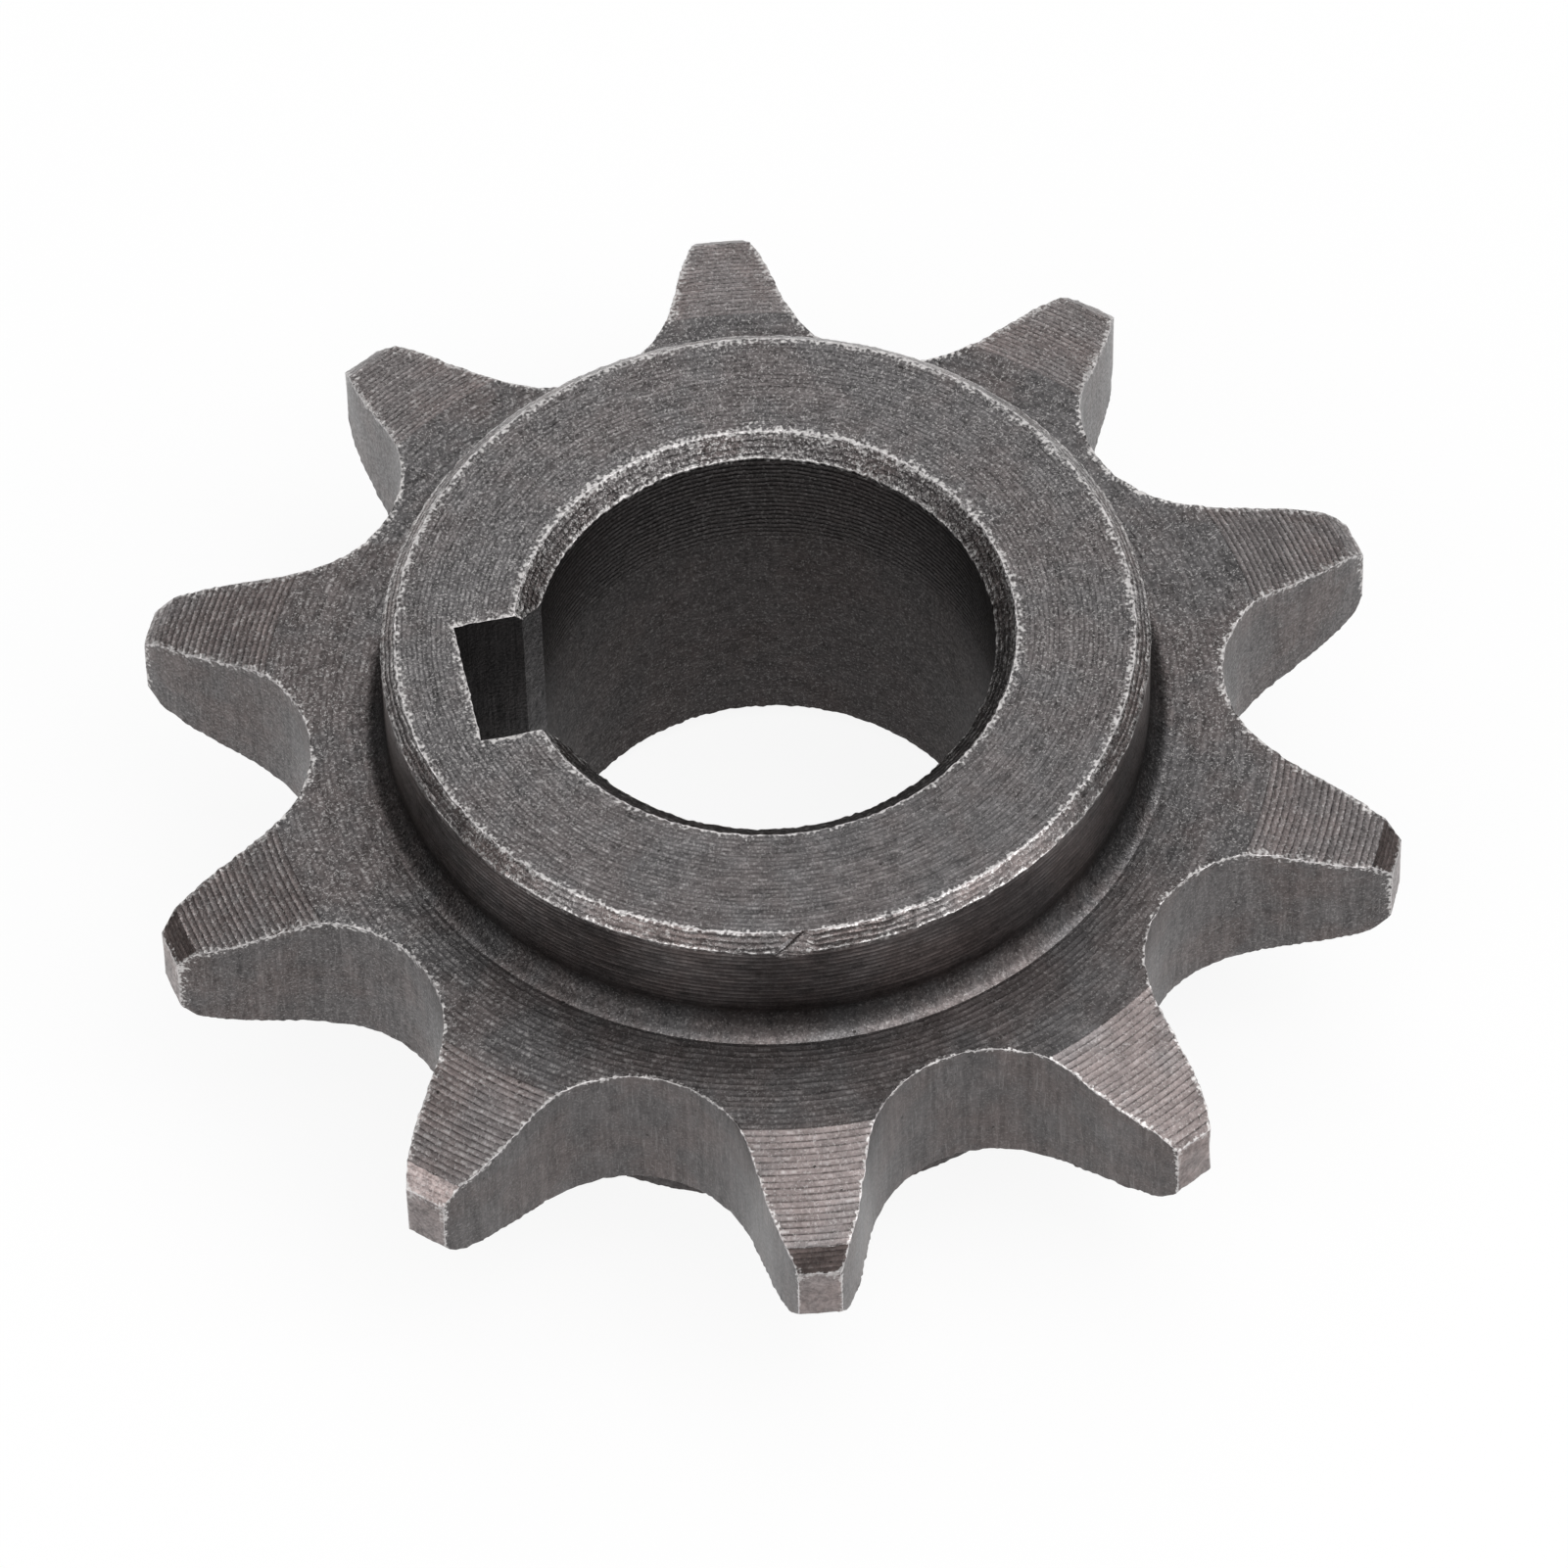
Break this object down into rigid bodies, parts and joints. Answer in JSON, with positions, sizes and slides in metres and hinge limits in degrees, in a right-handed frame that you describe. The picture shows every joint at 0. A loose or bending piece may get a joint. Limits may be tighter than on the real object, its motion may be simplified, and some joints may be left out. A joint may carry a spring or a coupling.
{
  "type": "chain sprocket",
  "caption": "Steel drive sprocket for roller chain, with relieved teeth, a hub on each side and a keyed bore that is chamfered at both ends.",
  "frame": {"origin": "on the bore's axis, on the end face of the lower hub, which the sprocket rests on", "axes": "+Z along the bore from the lower hub to the upper hub, -X towards the middle of the keyway"},
  "size_m": [0.0444, 0.0448, 0.0159],
  "materials": {
    "turned_steel": "dark oiled steel with turned feed lines, faint brown patches, fine bright flecks and bright worn or burred edges"
  },
  "bodies": {
    "root": {"sprocket": "turned_steel"}
  },
  "joints": []
}
